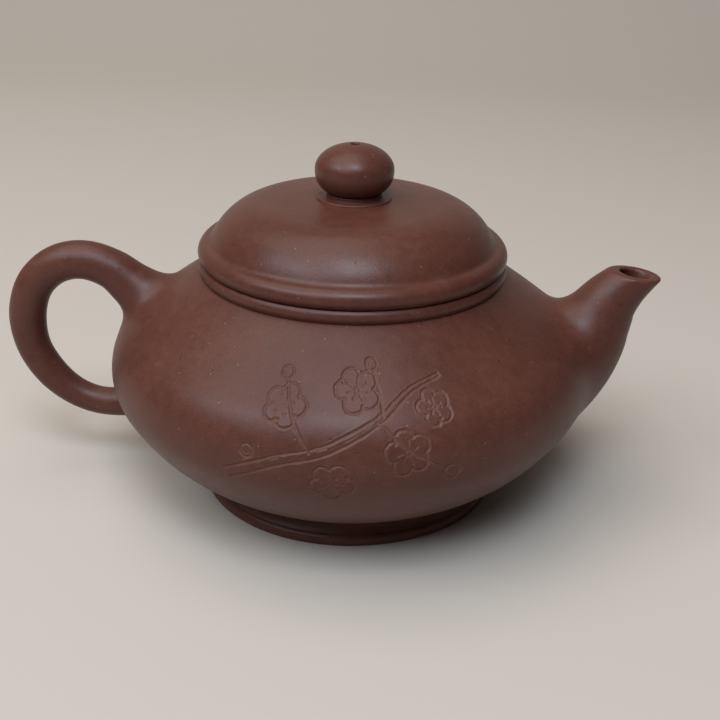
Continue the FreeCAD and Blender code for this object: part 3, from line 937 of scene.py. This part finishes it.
def tinted(tree, colour, share, tint):
    """Colour that turns to a tint by a share."""
    made = node(tree, "ShaderNodeMix", {"data_type": "RGBA"})
    tree.links.new(share, made.inputs["Factor"])
    colours = [socket for socket in made.inputs if socket.type == "RGBA"]
    tree.links.new(colour, colours[0])
    colours[1].default_value = (*tint, 1)
    return next(socket for socket in made.outputs if socket.type == "RGBA")


def dots(tree, where, scale, size, rarity):
    """Scattered round dots, in the few cells of a texture whose random value is over the rarity."""
    cells = node(tree, "ShaderNodeTexVoronoi", Scale=scale)
    link(tree, where, "Object", cells, "Vector")
    pick = node(tree, "ShaderNodeSeparateColor")
    link(tree, cells, "Color", pick, "Color")
    chosen = maths(tree, "GREATER_THAN", pick.outputs["Red"], rarity)
    round_dot = ranged(tree, cells, "Distance", low=1.0, high=0.0, start=DOT_CORE * size, end=size)
    return maths(tree, "MULTIPLY", round_dot.outputs["Result"], chosen)


def noise(tree, where, scale, detail, rough):
    made = node(tree, "ShaderNodeTexNoise", Scale=scale, Detail=detail, Roughness=rough)
    link(tree, where, "Object", made, "Vector")
    return made


def clay_marks(tree):
    """Textures of the clay: slow drift, mottling, grain, scuffs, specks, pits and knife marks."""
    where = node(tree, "ShaderNodeTexCoord")
    wear = noise(tree, where, scale=130.0, detail=7.0, rough=0.65)
    grain = noise(tree, where, scale=2400.0, detail=3.0, rough=0.6)
    worn = ranged(tree, wear, "Fac", low=0.0, high=SCUFF_SHARE, start=0.60, end=0.74)
    broken = ranged(tree, grain, "Fac", low=0.3, high=1.0)
    return {
        "drift": noise(tree, where, scale=45.0, detail=4.0, rough=0.55),
        "mottle": noise(tree, where, scale=420.0, detail=4.0, rough=0.6),
        "grain": grain,
        "scuffs": maths(tree, "MULTIPLY", worn.outputs["Result"], broken.outputs["Result"]),
        "specks": dots(tree, where, scale=640.0, size=0.14, rarity=0.86),
        "pits": dots(tree, where, scale=360.0, size=0.11, rarity=0.80),
        "knife": node(tree, "ShaderNodeAttribute", {"attribute_name": "carve"}).outputs["Fac"],
    }


def clay_colour(tree, marks):
    """Two tones of clay by the drift, uneven by mottling and grain, tinted by the marks, and darkened in
    the small pits with painted shade.
    """
    tone = node(tree, "ShaderNodeValToRGB")
    for stop, place, colour in zip(tone.color_ramp.elements, TONE_STOPS, (CLAY_DARK, CLAY_LIGHT)):
        stop.position = place
        stop.color = (*colour, 1)
    link(tree, marks["drift"], "Fac", tone, "Fac")
    mottling = ranged(tree, marks["mottle"], "Fac", *MOTTLE_TONES)
    graining = ranged(tree, marks["grain"], "Fac", *GRAIN_TONES)
    shade = maths(tree, "MULTIPLY", mottling.outputs["Result"], graining.outputs["Result"])
    uneven = node(tree, "ShaderNodeHueSaturation")
    link(tree, tone, "Color", uneven, "Color")
    tree.links.new(shade, uneven.inputs["Value"])
    colour = tinted(tree, uneven.outputs["Color"], marks["scuffs"], CLAY_SCUFF)
    colour = tinted(tree, colour, maths(tree, "MULTIPLY", marks["knife"], CUT_SHARE), CLAY_CUT)
    colour = tinted(tree, colour, maths(tree, "MULTIPLY", marks["specks"], SPECK_SHARE), CLAY_SPECK)
    # Small pits darkened: painted shade inside the holes that the bump sinks
    return tinted(tree, colour, maths(tree, "MULTIPLY", marks["pits"], PIT_SHADE_SHARE), PIT_SHADE)


def clay_roughness(tree, marks, smooth, rough):
    """Roughness between two values by the mottling, and more where the clay is cut or scuffed."""
    mottling = ranged(tree, marks["mottle"], "Fac", smooth, rough)
    knife = maths(tree, "MULTIPLY", marks["knife"], CUT_ROUGHNESS)
    return maths(tree, "ADD", maths(tree, "ADD", mottling.outputs["Result"], knife), marks["scuffs"])


def clay_bumps(tree, marks, grit):
    """Soft unevenness, fine grit and small pits, one on the other."""
    peel = node(tree, "ShaderNodeBump", Strength=0.10, Distance=0.0002)
    link(tree, marks["mottle"], "Fac", peel, "Height")
    fine = node(tree, "ShaderNodeBump", Strength=grit, Distance=0.0001)
    link(tree, marks["grain"], "Fac", fine, "Height")
    link(tree, peel, "Normal", fine, "Normal")
    holes = node(tree, "ShaderNodeBump", {"invert": True}, Strength=0.5, Distance=0.0001)
    tree.links.new(marks["pits"], holes.inputs["Height"])
    link(tree, fine, "Normal", holes, "Normal")
    return holes


def clay(name, smooth, rough, grit):
    """Fired clay with a soft sheen between two values of roughness."""
    material = bpy.data.materials.new(name)
    material.use_nodes = True
    tree = material.node_tree
    shader = tree.nodes["Principled BSDF"]
    marks = clay_marks(tree)
    tree.links.new(clay_colour(tree, marks), shader.inputs["Base Color"])
    tree.links.new(clay_roughness(tree, marks, smooth, rough), shader.inputs["Roughness"])
    link(tree, clay_bumps(tree, marks, grit), "Normal", shader, "Normal")
    shader.inputs["Specular IOR Level"].default_value = CLAY_SPECULAR
    return material


# Stage, light and camera

def make_stage():
    """Pale floor that sweeps up into a wall behind the pot."""
    sweep = arc((FLOOR_BACK, FLOOR_SWEEP), FLOOR_SWEEP, start=-90, end=0, step=0.05)
    rows = [(-FLOOR_REACH, 0.0), *sweep.tolist(), (FLOOR_BACK + FLOOR_SWEEP, FLOOR_TOP)]
    points = [(x, y, z) for y, z in rows for x in (-FLOOR_REACH, FLOOR_REACH)]
    faces = [(2 * i, 2 * i + 1, 2 * i + 3, 2 * i + 2) for i in range(len(rows) - 1)]
    mesh = bpy.data.meshes.new("floor")
    mesh.from_pydata(points, [], faces)
    mesh.shade_smooth()
    material = bpy.data.materials.new("pale_floor")
    material.use_nodes = True
    shader = material.node_tree.nodes["Principled BSDF"]
    shader.inputs["Base Color"].default_value = (*FLOOR_COLOUR, 1)
    shader.inputs["Roughness"].default_value = FLOOR_ROUGHNESS
    mesh.materials.append(material)
    floor = bpy.data.objects.new("floor", mesh)
    bpy.context.scene.collection.objects.link(floor)


def area_lamp(name, spot, aim, size, power, colour):
    lamp = bpy.data.lights.new(name, "AREA")
    lamp.shape = "RECTANGLE"
    lamp.size, lamp.size_y = size
    lamp.energy = power
    lamp.color = colour
    thing = bpy.data.objects.new(name, lamp)
    thing.location = spot
    thing.rotation_euler = (Vector(aim) - Vector(spot)).to_track_quat("-Z", "Y").to_euler()
    bpy.context.scene.collection.objects.link(thing)


def make_light():
    world = bpy.data.worlds.new("studio")
    world.use_nodes = True
    background = world.node_tree.nodes["Background"]
    background.inputs["Color"].default_value = (*WORLD_COLOUR, 1)
    background.inputs["Strength"].default_value = WORLD_STRENGTH
    bpy.context.scene.world = world
    area_lamp("window", spot=(0.05, -0.64, 1.04), aim=(0, 0, 0.05), size=(0.5, 0.5), power=8.8,
              colour=(0.70, 0.84, 1.0))
    area_lamp("side_window", spot=(-0.66, -0.58, 0.86), aim=(0, 0, 0.04), size=(1.0, 0.4), power=7.0,
              colour=(0.78, 0.89, 1.0))
    area_lamp("ceiling", spot=(-0.35, -0.05, 1.25), aim=(0, 0, 0), size=(1.2, 1.2), power=10.2,
              colour=(1.0, 0.95, 0.89))


def make_camera():
    turn, pitch, roll = (math.radians(a) for a in (CAMERA_TURN, CAMERA_PITCH, CAMERA_ROLL))
    level = Vector((math.cos(turn), math.sin(turn), 0))
    forward = Vector((-math.sin(turn), math.cos(turn), 0))
    ahead = forward * math.cos(pitch) - Vector((0, 0, math.sin(pitch)))
    upright = level.cross(ahead)
    right = level * math.cos(roll) + upright * math.sin(roll)
    up = upright * math.cos(roll) - level * math.sin(roll)
    camera = bpy.data.cameras.new("camera")
    camera.sensor_width = CAMERA_SENSOR
    camera.lens = CAMERA_LENS
    camera.clip_start = CAMERA_NEAR
    thing = bpy.data.objects.new("camera", camera)
    turn_matrix = Matrix((right, up, -ahead)).transposed()
    thing.matrix_world = Matrix.Translation(Vector(CAMERA_SPOT) * MM) @ turn_matrix.to_4x4()
    bpy.context.scene.collection.objects.link(thing)
    bpy.context.scene.camera = thing


make_camera()
make_stage()
make_light()
pot_clay = clay("pot_clay", smooth=0.36, rough=0.46, grit=0.28)
lid_clay = clay("lid_clay", smooth=0.30, rough=0.39, grit=0.35)
make_body(pot_clay)
make_mouth_ring(pot_clay)
make_foot(pot_clay)
make_spout(pot_clay)
make_handle(pot_clay)
make_lid_disc(lid_clay)
make_lid_bead(lid_clay)
make_lid_flange(lid_clay)
make_collar(lid_clay)
make_knob(lid_clay)
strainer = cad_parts["strainer_dome"]
strainer.data.materials.clear()
strainer.data.materials.append(pot_clay)

bpy.context.scene.view_settings.view_transform = "Standard"
